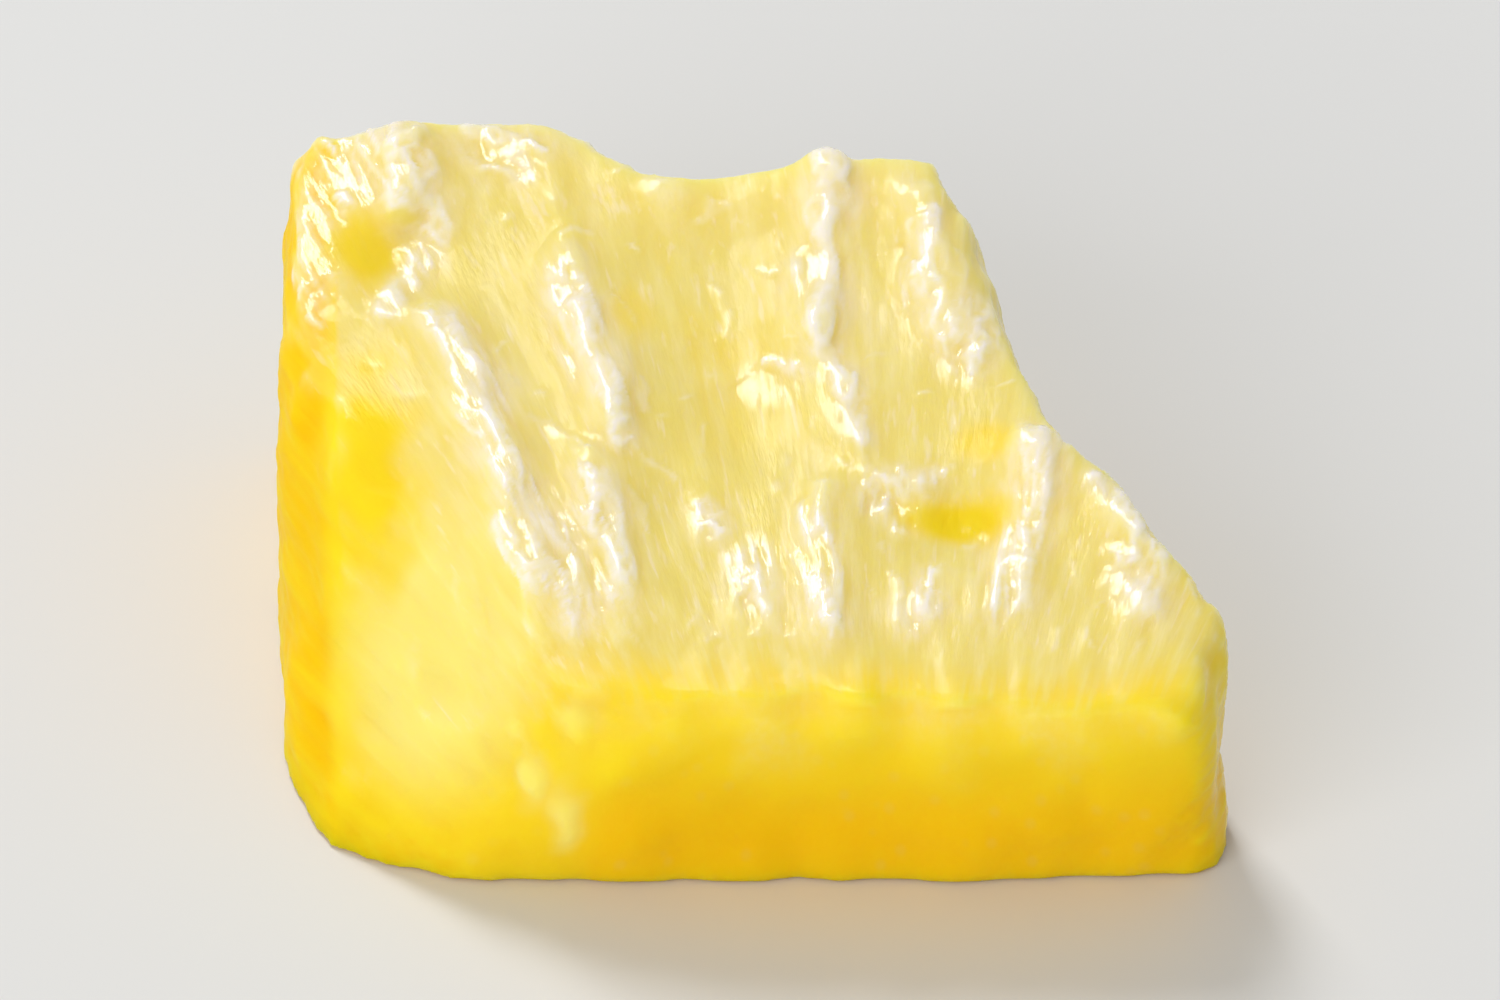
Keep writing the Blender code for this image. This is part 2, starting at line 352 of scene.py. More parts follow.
# In front of this line it counts as deeper by this share of the way, as far as the reach: painted shade on
# the rounded front edge and the top of the front face.
FRONT_EDGE = -8.8 * MM
FRONT_REACH = 1.5 * MM
FRONT_PAINTED_SHADE = 0.25

# The pared corner, the front beside it and the side that faced the core count as shallower, by these shares.
# On the pared corner and the front beside it this is painted light; on the core's side it is the paler flesh
# there.
PARED_PAINTED_LIGHT = 0.6
BESIDE_PAINTED_LIGHT = 0.55
BESIDE_BAND = (-2.9 * MM, -4.6 * MM)
CORE_PALE = 0.25

# Between these lines the slice face goes over softly into the yellow of the front: there this share of the
# depth gives way to a plain one.
FRONT_BAND = (-7.9 * MM, -10.2 * MM)
FRONT_CALM = 0.82
FRONT_DEPTH = 0.60 * MM

# Noises of the material: lengths across the fibres and along them, and detail.
STREAKS = (0.42 * MM, 5.0 * MM, 3.0)
VESSELS = (0.20 * MM, 4.5 * MM, 2.0)
CLOUDS = (2.4 * MM, 6.0 * MM, 1.0)
GRAIN = (0.13 * MM, 0.9 * MM, 2.0)
DOT_SPACING = 1.0 * MM
DOT_STRETCH = 5.0

# Ranges of the material's masks: from, to, and what each becomes there.
RANGES = {
    "clouds": (0.3, 0.7, -0.15, 0.15),
    "feathers": (0.32, 0.75, 0.17, -0.17),
    "feathers on fibre ends": (0.0, 0.6, 1.0, 0.1),
    "under the slice face": (-0.05, 1.1, 0.0, 1.0),
    "towards the rind and into shade": (0.8, 4.8, 0.0, 1.0),
    "strands": (0.32, 0.85, 0.0, 1.0),
    "strands on fibre ends": (0.0, 1.0, 0.6, 0.12),
    "dots": (0.08, 0.3, 1.0, 0.0),
    "vessels": (0.52, 0.78, 0.0, 0.36),
    "vessels on ridges": (0.35, 0.6, 0.6, 0.95),
    "grain": (0.0, 1.0, 0.25, 1.0),
    "roughness": (0.1, 0.8, 0.40, 0.26),
    "subsurface": (0.0, 1.0, 1.0, 0.5),
}
DOT_SHARE = 0.07
PALE_SHARE = 0.85

# What the wet flesh is all over.
FLESH_SURFACE = {
    "Coat Roughness": 0.07,
    "Coat IOR": 1.35,
    "IOR": 1.40,
    "Specular IOR Level": 0.05,
    "Subsurface Radius": (0.88, 0.84, 0.28),
    "Subsurface Scale": 1.5 * MM,
}
BUMP_STRENGTH = 0.45
BUMP_DISTANCE = 0.035 * MM

# The stage: places from the wedge's middle and sizes in metres, and the camera's sensor in millimetres.
KEY_PLACE = Vector((-0.18, 0.46, 0.57))
KEY_SIZE = (0.17, 0.34)
FILL_PLACE = Vector((-0.34, -0.60, 0.28))
FILL_SIZE = (0.60, 0.60)
FLOOR_HALF = 1.5
FLOOR_DROP = 0.02 * MM
FLOOR_ROUGHNESS = 0.6
SENSOR_WIDTH = 36.0
NEAREST = 10.0 * MM
FARTHEST = 5.0


def colour_property(name, description, default):
    return FloatVectorProperty(
        name=name, description=description, default=default, subtype="COLOR", size=3, min=0.0, max=1.0
    )


def number_property(name, description, default, **kind):
    return FloatProperty(name=name, description=description, default=default, **kind)


def length_property(name, description, default):
    return number_property(name, description, default, unit="LENGTH", min=0.0, precision=5)


class PineappleFleshSettings(bpy.types.PropertyGroup):
    cell: length_property("Cell", "Size of the even cells that carry the fine relief", 0.115 * MM)
    wander: length_property("Wander", "How far the ridges stray sideways", 0.24 * MM)
    thread_width: length_property("Thread width", "Spacing of the fine fibres", 0.30 * MM)
    thread_length: length_property("Thread length", "How far a fine fibre runs", 3.0 * MM)
    thread_height: length_property("Thread height", "How far the fine fibres stand proud", 0.055 * MM)
    bead_width: length_property("Bead width", "Width of the beads that a bundle breaks into", 0.45 * MM)
    bead_length: length_property("Bead length", "Length of those beads", 1.5 * MM)
    bead_height: length_property("Bead height", "How far those beads stand proud", 0.06 * MM)
    ripple_height: length_property("Ripple height", "Soft unevenness of the wet hollows", 0.05 * MM)
    pit_depth: length_property("Pit depth", "Depth of the pits where flesh tore away", 0.07 * MM)
    grain_height: length_property("Grain height", "Fine grain of the torn flesh", 0.025 * MM)
    end_width: length_property("Fibre end width", "Size of the fibre ends on the cut sides", 0.8 * MM)
    end_height: length_property("Fibre end height", "How far the fibre ends stand proud", 0.010 * MM)
    flank_height: length_property("Flank height", "Relief of the long strands on the cut flanks", 0.06 * MM)
    lump_height: length_property("Lump height", "Soft lumps on the sides that face away", 0.07 * MM)
    edge_lump_height: length_property("Edge lump height", "Soft lumps along the worn edges", 0.12 * MM)
    crispness: number_property("Crispness", "How far the knife's edges are sharpened", 0.55)
    # Cream is partly the pale torn fibres and partly painted highlight, the white of wet glints on the
    # ridges and flecks.
    cream: colour_property("Cream", "Torn fibres on the slice face", (1.0, 0.86, 0.72))
    straw: colour_property("Straw", "Pale strands in the wet flesh", (0.90, 0.76, 0.29))
    lemon: colour_property("Lemon", "Wet flesh between the fibres", (0.85, 0.695, 0.16))
    # Pale is painted light on the pared corner, and the paler flesh of the core's side.
    pale: colour_property("Pale", "Cut flesh in the middle of the pared corner", (0.97, 0.78, 0.21))
    # Yellow and golden are partly the flesh's own colour under the slice face and towards the rind, and
    # partly painted shade down the sides.
    yellow: colour_property("Yellow", "Ripe flesh just under the slice face", (0.96, 0.68, 0.015))
    golden: colour_property("Golden", "Smooth cut flesh towards the rind and into shade", (0.95, 0.53, 0.003))


class PineappleStageSettings(bpy.types.PropertyGroup):
    elevation: number_property(
        "Camera elevation", "Angle of the camera over the horizon", math.radians(35.6), subtype="ANGLE"
    )
    distance: length_property("Camera distance", "From the camera to the middle of the wedge", 694.0 * MM)
    view_width: length_property("View width", "What the picture spans at the wedge", 37.0 * MM)
    floor: colour_property("Floor", "Colour of the floor", (0.72, 0.72, 0.71))
    key: number_property("Key light", "Power of the softbox behind", 2.75, unit="POWER")
    fill: number_property("Fill light", "Power of the softbox in front", 3.28, unit="POWER")
    air: number_property("Room light", "Strength of the light from all round", 0.46)


def smooth_step(start, full, values):
    """From 0 at the start to 1 where it is full, which may lie on either side of the start."""
    t = np.clip((values - start) / (full - start), 0.0, 1.0)
    return t * t * (3.0 - 2.0 * t)


def mix(low, high, share):
    return low + (high - low) * share


def ridged(values):
    """Sharp-crested ridges where a noise crosses zero, from 0 to 1."""
    return 1.0 - np.minimum(1.0, np.abs(values) * CREST_SLOPE)


def noise_at(places, lengths, shift):
    """Smooth noise over an array of places, stretched by a length along each axis."""
    points = (places / np.asarray(lengths) + shift).tolist()
    return np.array([noise.noise(point) for point in points])


def fibre_noise_at(fibre, width, length, shift):
    return noise_at(fibre, (width, length, width), shift)


def named_noise(name, places):
    lengths, shift = NOISES[name]
    return noise_at(places, np.multiply(lengths, MM), shift)


def cell_distance_at(places, lengths):
    """Distance to the nearest of a scatter of points, one to a cell."""
    points = (places / np.asarray(lengths)).tolist()
    return np.array([noise.voronoi(point)[0][0] for point in points])


def reach_from(places, middle, half):
    """How far each place lies from a middle: 1 at the half size along each axis."""
    return np.linalg.norm((places / MM - middle) / half, axis=1)


def patch_mask(places, patches, fade, uneven=0.0):
    """The share of the strongest patch at each place."""
    mask = np.zeros(len(places))
    for middle, half, strength in patches:
        reach = reach_from(places, middle, half) + uneven
        mask = np.maximum(mask, strength * smooth_step(*fade, reach))
    return mask


def vertex_places(mesh):
    places = np.empty(len(mesh.vertices) * 3)
    mesh.vertices.foreach_get("co", places)
    return places.reshape(-1, 3)


def vertex_normals(mesh):
    normals = np.empty(len(mesh.vertices) * 3)
    mesh.vertex_normals.foreach_get("vector", normals)
    return normals.reshape(-1, 3)


def move_vertices(mesh, places):
    mesh.vertices.foreach_set("co", places.ravel())
    mesh.update()


def edge_pairs(mesh):
    pairs = np.empty(len(mesh.edges) * 2, dtype=np.int64)
    mesh.edges.foreach_get("vertices", pairs)
    return pairs.reshape(-1, 2)


def store(mesh, name, values):
    layer = mesh.attributes.new(name, "FLOAT", "POINT")
    layer.data.foreach_set("value", values.astype(np.float32))


def store_places(mesh, name, places):
    layer = mesh.attributes.new(name, "FLOAT_VECTOR", "POINT")
    layer.data.foreach_set("vector", places.astype(np.float32).ravel())


def spread(values, pairs, rounds):
    """Values at the vertices, each averaged with its neighbours again and again."""
    ends = np.concatenate((pairs[:, 0], pairs[:, 1]))
    others = np.concatenate((pairs[:, 1], pairs[:, 0]))
    count = np.bincount(ends, minlength=len(values))
    for _ in range(rounds):
        columns = [np.bincount(ends, values[others, k], len(values)) for k in range(values.shape[1])]
        values = 0.5 * values + 0.5 * np.stack(columns, 1) / count[:, None]
    return values


def roundness(mesh, pairs, rounds):
    """How far each vertex stands over its surroundings, which is below 0 in valleys."""
    places = vertex_places(mesh)
    return np.einsum("ij,ij->i", places - spread(places, pairs, rounds), vertex_normals(mesh))


def merged_copy(node):
    """A bmesh of a CAD node with its loose triangles joined."""
    flesh = bmesh.new()
    flesh.from_mesh(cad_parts[node].data)
    bmesh.ops.remove_doubles(flesh, verts=flesh.verts, dist=WELD)
    bmesh.ops.recalc_face_normals(flesh, faces=flesh.faces)
    return flesh


def with_modifiers_applied(blank):
    """The mesh that an object's modifiers make; the object itself is removed."""
    bpy.context.view_layer.update()
    seen = blank.evaluated_get(bpy.context.evaluated_depsgraph_get())
    mesh = bpy.data.meshes.new_from_object(seen)
    old = blank.data
    bpy.data.objects.remove(blank)
    bpy.data.meshes.remove(old)
    return mesh


def square_foot(flesh):
    """Carries the walls on down to the floor, where a knife leaves a crisp edge."""
    bmesh.ops.bisect_plane(
        flesh,
        geom=flesh.verts[:] + flesh.edges[:] + flesh.faces[:],
        dist=TOUCHING,
        plane_co=(0.0, 0.0, FOOT),
        plane_no=(0.0, 0.0, 1.0),
        clear_inner=True,
    )
    flesh.normal_update()
    rim = [edge for edge in flesh.edges if edge.is_boundary]
    facing = {}
    for vert in {vert for edge in rim for vert in edge.verts}:
        flat = Vector((vert.normal.x, vert.normal.y, 0.0))
        facing[tuple(vert.co)] = flat * vert.normal.z / flat.length_squared
    made = bmesh.ops.extrude_edge_only(flesh, edges=rim)
    for vert in made["geom"]:
        if isinstance(vert, bmesh.types.BMVert):
            vert.co += facing[tuple(vert.co)] * FOOT
            vert.co.z = 0.0
    bottom = [edge for edge in flesh.edges if edge.is_boundary]
    bmesh.ops.holes_fill(flesh, edges=bottom, sides=0)
    bmesh.ops.triangulate(flesh, faces=flesh.faces[:])
    bmesh.ops.recalc_face_normals(flesh, faces=flesh.faces[:])


def fine_mesh(flesh, cell):
    """The wedge in small even cells, with the facets of its coarse mesh smoothed away."""
    mesh = bpy.data.meshes.new("wedge")
    flesh.to_mesh(mesh)
    flesh.free()
    blank = bpy.data.objects.new("wedge", mesh)
    bpy.context.scene.collection.objects.link(blank)
    remesh = blank.modifiers.new("cells", "REMESH")
    remesh.mode = "VOXEL"
    remesh.voxel_size = cell
    soften = blank.modifiers.new("soften", "SMOOTH")
    soften.factor = SOFTEN_FACTOR
    soften.iterations = SOFTEN_ROUNDS
    return with_modifiers_applied(blank)


def with_plain_foot(mesh):
    """The mesh with the cells of its flat lower face joined into one."""
    flesh = bmesh.new()
    flesh.from_mesh(mesh)
    bpy.data.meshes.remove(mesh)
    flat = [vert for vert in flesh.verts if vert.co.z < TOUCHING]
    inside = [edge for edge in flesh.edges if all(vert.co.z < TOUCHING for vert in edge.verts)]
    bmesh.ops.dissolve_limit(flesh, angle_limit=FLAT_ANGLE, verts=flat, edges=inside)
    bmesh.ops.triangulate(flesh, faces=[face for face in flesh.faces if len(face.verts) > 4])
    mesh = bpy.data.meshes.new("wedge")
    flesh.to_mesh(mesh)
    flesh.free()
    return mesh


def fibre_frame(places):
    """Places across the fibres, along them and upwards, and the direction in which each runs."""
    out = places - np.asarray(FAN_CENTRE)
    out[:, 2] = 0.0
    reach = np.linalg.norm(out, axis=1)
    across = np.arctan2(out[:, 0], out[:, 1]) * FAN_RADIUS
    return np.stack((across, reach, places[:, 2]), 1), out / reach[:, None]


def depth_under_top(places):
    """How far each place lies under the flat that the knife followed across the slice."""
    return FRONT_HEIGHT + TOP_RISE * (places[:, 1] - FRONT_LINE) - places[:, 2]


class Skin:
    """The surface of the wedge: where each vertex lies, which way it faces and which cut it belongs to."""

    def __init__(self, mesh):
        self.pairs = edge_pairs(mesh)
        self.places = vertex_places(mesh)
        self.normals = vertex_normals(mesh)
        self.fibre, run = fibre_frame(self.places)
        self.depth = depth_under_top(self.places)
        self.upper = smooth_step(*FACES_UP, self.normals[:, 2])
        self.lower = smooth_step(*LOWER_BAND, self.places[:, 2])
        self.sides = (1.0 - self.upper) * (1.0 - self.lower)
        self.front = smooth_step(*FACES_FRONT, -self.normals[:, 1])
        self.left = smooth_step(*FACES_LEFT, -self.normals[:, 0])
        self.back = smooth_step(*FACES_BACK, self.normals[:, 1])
        self.core_side = smooth_step(*FACES_CORE, self.normals[:, 1]) * (1.0 - self.upper)
        self.away = smooth_step(*FACES_AWAY, self.normals @ AWAY_FACING) * self.sides
        self.pared = smooth_step(*FACES_PARED, self.normals @ PARED_FACING)
        along_fibres = np.abs(np.einsum("ij,ij->i", self.normals, run))
        self.ends = smooth_step(*CUTS_FIBRES, along_fibres) * self.sides
        self.corner = smooth_step(*CORNER_BAND, roundness(mesh, self.pairs, CORNER_ROUNDS))
        self.corner *= smooth_step(*CORNER_HEIGHTS, self.places[:, 2])


def bundles_at(skin):
    """How near the middle of a bundle each place lies, from 0 to 1, and how far that bundle raises it."""
    flat = skin.places[:, :2] / MM
    frayed = BUNDLE_FRAY * named_noise("frayed ends", skin.fibre)
    frayed += BUNDLE_BEND * named_noise("bent bundles", skin.places)
    broken = np.clip(BUNDLE_WHOLE + BUNDLE_SWING * named_noise("broken bundles", skin.fibre), *BUNDLE_LIMITS)
    nearness = np.zeros(len(flat))
    height = np.zeros(len(flat))
    for line in BUNDLES:
        for (x, y, half), (next_x, next_y, next_half) in zip(line, line[1:]):
            run = np.array((next_x - x, next_y - y))
            offset = flat - (x, y)
            along = np.clip(offset @ run / (run @ run), 0.0, 1.0)
            width = mix(half, next_half, along)
            reach = np.linalg.norm(offset - along[:, None] * run, axis=1) / width + frayed
            closeness = np.exp(-((np.maximum(reach, 0.0) / BUNDLE_SOFTNESS) ** 2))
            nearness = np.maximum(nearness, closeness)
            height = np.maximum(height, closeness * width)
    whiteness = nearness**WHITE_WIDENS * np.clip(broken + WHITE_HOLDS, 0.0, 1.0)
    return whiteness, height * broken * BUNDLE_RISE * MM


def blisters_at(places):
    """How far the blisters of the pared corner rise, and how pale the flesh is on them and round them."""
    uneven = BLISTER_UNEVEN * named_noise("outline of blisters", places)
    height = np.zeros(len(places))
    paleness = np.zeros(len(places))
    for middle, half, rise in BLISTERS:
        reach = reach_from(places, middle, half) + uneven
        height = np.maximum(height, rise * MM * (1.0 - np.clip(reach, 0.0, 1.0) ** 2) ** 2)
        paleness = np.maximum(paleness, smooth_step(*BLISTER_FADE, reach))
    return height, paleness


def let_wander(mesh, reach):
    """Moves the surface sideways by smooth noise, so that no ridge runs quite straight."""
    places = vertex_places(mesh)
    fade = smooth_step(*WANDERS, vertex_normals(mesh)[:, 2])
    sway = np.stack([named_noise(name, places) for name in ("sway sideways", "sway lengthwise")], 1)
    places[:, :2] += sway * (reach * fade)[:, None]
    move_vertices(mesh, places)


def calm_forms(mesh, crispness):
    """Evens the upper face, raises its bundles and sharpens the edges; says where its own ridges were."""
    skin = Skin(mesh)
    weight = skin.upper + TRACE
    level = spread(np.stack((weight * skin.depth, weight), 1), skin.pairs, LEVEL_ROUNDS)
    proud = level[:, 0] / level[:, 1] - skin.depth
    torn = smooth_step(*TORN_BAND, skin.places[:, 1])
    kept = np.where(proud > 0.0, RIDGE_KEPT, HOLLOW_KEPT) * torn
    inner = skin.upper * smooth_step(*INNER_BAND, -np.abs(skin.places[:, 1]))
    bulge = np.maximum(roundness(mesh, skin.pairs, BULGE_ROUNDS), 0.0)
    height = crispness * bulge * skin.corner * (1.0 - inner) * (1.0 - BACK_CALM * skin.back)
    height += bundles_at(skin)[1] * skin.upper
    rise = (kept - 1.0) * proud * skin.upper * (1.0 - skin.corner)
    move_vertices(mesh, skin.places + skin.normals * height[:, None] + rise[:, None] * (0.0, 0.0, 1.0))
    return smooth_step(0.0, FULL_RIDGE, proud)


def relax_folds(mesh):
    """Smooths the places where the back edge of the upper face would hang over like a lip."""
    pairs = edge_pairs(mesh)
    places = vertex_places(mesh)
    high = (places[:, 2] > LIP_HEIGHT) & (places[:, 1] > FRONT_BAND[0])
    hanging = high & (vertex_normals(mesh)[:, 2] < LIP_FACING)
    near = np.minimum(LIP_GAIN * spread(hanging[:, None].astype(float), pairs, LIP_ROUNDS)[:, 0], 1.0)
    move_vertices(mesh, places + (spread(places, pairs, RELAX_ROUNDS) - places) * near[:, None])


class Tearing:
    """How torn and how whitish each place is, where natural is 1 on the solid's own ridges. The whitish look
    is partly pale torn fibres and partly painted highlight.
    """

    def __init__(self, skin, natural):
        places, upper = skin.places, skin.upper
        back = smooth_step(*TORN_BAND, places[:, 1] + TORN_STRAY * named_noise("torn limit", places))
        ragged = patch_mask(places[:, :2], RAGGED, RAGGED_FADE)
        bundles = bundles_at(skin)[0]
        fading = np.clip(FADING_MEAN + FADING_SWING * named_noise("fading bundles", places), 0.0, 1.0)
        self.open = upper * back
        plain = self.open * mix(TEAR_LEAST, 1.0, ragged)
        torn = np.maximum(plain, upper * smooth_step(*TEAR_BAND, bundles))
        torn = np.maximum(torn, TEAR_ON_RIDGES * natural * self.open)
        self.rough = np.maximum(plain, TEAR_ROUGHENS * torn)
        self.flecks = smooth_step(*FLECK_CRESTS, ridged(named_noise("flecks", skin.fibre)))
        self.flecks *= smooth_step(*FLECK_PATCHES, named_noise("places of flecks", places))
        self.flecks *= self.open * mix(FLECK_LEAST, 1.0, smooth_step(*FLECK_RAGGED, ragged))
        self.torn = np.maximum(torn, self.flecks)
        whitish = back * np.maximum(WHITE_ON_RIDGES * natural, WHITE_RAGGED * ragged)
        whitish = upper * np.maximum(bundles * fading, whitish)
        self.ridge = np.maximum(whitish, PAINTED_GLINT_ON_FLECKS * self.flecks)
        wear = WEAR_SHARE * smooth_step(*WEAR_BAND, named_noise("worn edges", places))
        self.edge = wear * skin.corner * back * (1.0 - WEAR_ABOVE * upper)


def threads_at(fibre, look):
    """The fine fibres, from 0 between them to 1 on their crests."""
    return ridged(fibre_noise_at(fibre, look.thread_width, look.thread_length, THREAD_SHIFT))


def relief_at(skin, tearing, threads, look):
    """How far each place rises with the fine fibres, beads, pits, lumps and fibre ends."""
    torn, rough, edge = tearing.torn, tearing.rough, tearing.edge
    beads = fibre_noise_at(skin.fibre, look.bead_width, look.bead_length, BEAD_SHIFT)
    beads = smooth_step(*BEAD_BAND, beads)
    pits = smooth_step(*PIT_BAND, named_noise("pits", skin.fibre))
    lumps = named_noise("lumps", skin.places)
    strands = named_noise("strands", skin.fibre) + THREADS_ON_FLANKS * threads
    stub_lengths = (look.end_width, look.end_width * STUB_STRETCH, look.end_width)
    stubs = 1.0 - cell_distance_at(skin.fibre, stub_lengths)
    proud = THREADS_SMOOTH * (1.0 - skin.pared) + THREADS_TORN * (torn + rough) / 2.0
    height = look.thread_height * threads * proud
    height += look.bead_height * (beads * rough + tearing.flecks)
    height += look.ripple_height * named_noise("ripples", skin.fibre) * mix(RIPPLES_LEAST, 1.0, skin.upper)
    height -= look.pit_depth * pits * rough
    height += look.grain_height * named_noise("grains", skin.places) * np.maximum(rough, edge)
    height += look.end_height * stubs * skin.ends * mix(STUBS_OFF_FRONT, 1.0, skin.front)
    height += look.flank_height * strands * (skin.sides - skin.ends)
    height += look.lump_height * lumps * skin.away
    height += look.edge_lump_height * lumps * edge * smooth_step(*EDGE_LUMP_DEPTHS, skin.depth)
    return height


def colour_depths(skin, places):
    """How deep under the slice face the colours take each place to lie, at its front edge and all over.
    Depth stands partly for the flesh's own colour towards the rind and partly for painted shade. The extra
    depth at the right corner, the front edge and the foot is painted shade, and at the left it is partly
    painted shade. The lesser depth of the pared corner and the front beside it is painted light.
    """
    x, y, z = places.T
    beside = smooth_step(*BESIDE_BAND, x) * skin.front
    depth = skin.depth * (1.0 - np.maximum(PARED_PAINTED_LIGHT * skin.pared, BESIDE_PAINTED_LIGHT * beside))
    depth += LEFT_GOLD_AND_SHADE * smooth_step(*LEFT_BAND, x)
    depth *= 1.0 - CORE_PALE * skin.core_side
    depth += RIGHT_PAINTED_SHADE * smooth_step(*RIGHT_BAND, x)
    over_front = smooth_step(*FRONT_BAND, y)
    at_front = depth * (1.0 - FRONT_CALM * over_front) + FRONT_DEPTH * over_front
    depth += FRONT_PAINTED_SHADE * np.clip(FRONT_EDGE - y, 0.0, FRONT_REACH)
    depth += FOOT_PAINTED_SHADE * (skin.pared + FOOT_PAINTED_SHADE_LEFT * skin.left) * smooth_step(*FOOT_BAND, z)
    return at_front, depth


def carve_fibres(mesh, look, natural):
    """Raises the fine fibres, beads, blisters and fibre ends, and stores what the colours follow."""
    skin = Skin(mesh)
    tearing = Tearing(skin, natural)
    threads = threads_at(skin.fibre, look)
    swelling, blister = blisters_at(skin.places)
    height = (relief_at(skin, tearing, threads, look) + swelling) * (1.0 - skin.lower)
    places = skin.places + skin.normals * height[:, None]
    places[:, 2] = np.maximum(places[:, 2], 0.0)
    move_vertices(mesh, places)
    at_front, depth = colour_depths(skin, places)
    crest = roundness(mesh, skin.pairs, CREST_ROUNDS) / CREST_HEIGHT
    pale = np.maximum(patch_mask(places, PAINTED_LIGHT_PATCHES, PAINTED_LIGHT_FADE), PALE_CORE_SIDE * skin.core_side)
    uneven = RIPE_AND_SHADED_UNEVEN * named_noise("outline of patches", places)
    wet = WET_SMOOTH * (1.0 - skin.left) + WET_TORN * smooth_step(*WET_BAND, tearing.torn)
    store(mesh, "torn", tearing.torn)
    store(mesh, "ridge", tearing.ridge * mix(WHITE_BETWEEN_THREADS, 1.0, threads))
    store(mesh, "open", np.maximum(tearing.open, OPEN_AWAY * skin.away * (1.0 - skin.ends)))
    store(mesh, "crest", np.clip((1.0 + crest) / 2.0, 0.0, 1.0))
    store(mesh, "edge", tearing.edge)
    store(mesh, "ripe_and_shaded", patch_mask(places, RIPE_AND_SHADED_PATCHES, RIPE_AND_SHADED_FADE, uneven))
    store(mesh, "end", skin.ends * (1.0 - ENDS_HIDDEN_AWAY * skin.away))
    store(mesh, "pale", np.maximum(pale, PALE_BLISTERS * blister))
    store(mesh, "wet", np.maximum(wet, WET_AWAY * skin.away))
    store(mesh, "under", at_front / MM)
    store(mesh, "depth", depth / MM)
    store_places(mesh, "fibre", skin.fibre)


class Shading:
    """Adds nodes to a material and gives back their outputs."""

    def __init__(self, material):
        self.nodes = material.node_tree.nodes
        self.links = material.node_tree.links

    def feed(self, socket, value):
        """Links an output to a socket, or sets the socket to a plain number or colour."""
        if isinstance(value, bpy.types.NodeSocket):
            self.links.new(value, socket)
        else:
            socket.default_value = value

    def attribute(self, name, output="Fac"):
        node = self.nodes.new("ShaderNodeAttribute")
        node.attribute_name = name
        return node.outputs[output]

    def along_fibres(self, texture, across, along):
        """Draws a texture out along the fibres, with its lengths given in metres."""
        stretch = self.nodes.new("ShaderNodeMapping")
        stretch.inputs["Scale"].default_value = (1.0 / across, 1.0 / along, 1.0 / across)
        texture.inputs["Scale"].default_value = 1.0
        self.links.new(self.attribute("fibre", "Vector"), stretch.inputs["Vector"])
        self.links.new(stretch.outputs["Vector"], texture.inputs["Vector"])

    def fibre_noise(self, across, along, detail):
        texture = self.nodes.new("ShaderNodeTexNoise")
        texture.inputs["Detail"].default_value = detail
        self.along_fibres(texture, across, along)
        return texture.outputs["Fac"]

    def fibre_ends(self, spacing):
        """Soft dots where fibres are cut across, from 0 to 1."""
        texture = self.nodes.new("ShaderNodeTexVoronoi")
        self.along_fibres(texture, spacing, DOT_STRETCH * spacing)
        return self.ranged("dots", texture.outputs["Distance"])

    def ranged(self, name, value):
        """A value brought softly into one of the material's ranges."""
        node = self.nodes.new("ShaderNodeMapRange")
        node.interpolation_type = "SMOOTHSTEP"
        for socket, number in zip(("From Min", "From Max", "To Min", "To Max"), RANGES[name]):
            node.inputs[socket].default_value = number
        self.links.new(value, node.inputs["Value"])
        return node.outputs["Result"]

    def maths(self, operation, first, second):
        node = self.nodes.new("ShaderNodeMath")
        node.operation = operation
        for socket, value in zip(node.inputs, (first, second)):
            self.feed(socket, value)
        return node.outputs["Value"]

    def added(self, first, second):
        return self.maths("ADD", first, second)

    def times(self, first, second):
        return self.maths("MULTIPLY", first, second)

    def larger(self, first, second):
        return self.maths("MAXIMUM", first, second)

    def blend(self, share, first, second):
        """The first colour where the share is 0, and the second where it is 1."""
        node = self.nodes.new("ShaderNodeMix")
        node.data_type = "RGBA"
        ends = [socket for socket in node.inputs if socket.type == "RGBA"]
        self.links.new(share, node.inputs["Factor"])
        for socket, value in zip(ends, (first, second)):
            self.feed(socket, value)
        return next(socket for socket in node.outputs if socket.type == "RGBA")


def cut_colour(shade, straw, lemon, yellow, golden):
    """Wet flesh, pale on the slice face and yellow to golden under it, with faint streaks and fibre ends.
    The golden down the sides is partly the flesh's own colour and partly painted shade.
    """
    end = shade.attribute("end")
    streaks = shade.fibre_noise(*STREAKS)
    clouds = shade.ranged("clouds", shade.fibre_noise(*CLOUDS))
    feathers = shade.times(shade.ranged("feathers", streaks), shade.ranged("feathers on fibre ends", end))
    under = shade.added(shade.attribute("under"), shade.added(clouds, feathers))
    beneath = shade.ranged("under the slice face", under)
    deep = shade.ranged("towards the rind and into shade", shade.added(shade.attribute("depth"), clouds))
    strands = shade.ranged("strands", streaks)
    face = shade.blend(strands, lemon, straw)
    side = shade.blend(deep, yellow, golden)
    colour = shade.blend(beneath, face, side)
    faint = shade.times(strands, shade.ranged("strands on fibre ends", end))
    colour = shade.blend(shade.times(faint, beneath), colour, yellow)
    dots = shade.times(shade.fibre_ends(DOT_SPACING), shade.times(end, DOT_SHARE))
    return shade.blend(dots, colour, straw)


def whitish_share(shade, torn, ridge, open_face):
    """How far the torn fibres, the ridges and the fine vessels whiten the flesh, from 0 to 1. On the ridges
    and on the crests of torn flesh and worn edges, this is partly painted highlight.
    """
    vessels = shade.fibre_noise(*VESSELS)
    lines = shade.times(shade.ranged("vessels", vessels), open_face)
    frayed = shade.times(shade.larger(torn, shade.attribute("edge")), shade.attribute("crest"))
    ridges = shade.times(ridge, shade.ranged("vessels on ridges", vessels))
    return shade.larger(lines, shade.larger(frayed, ridges))


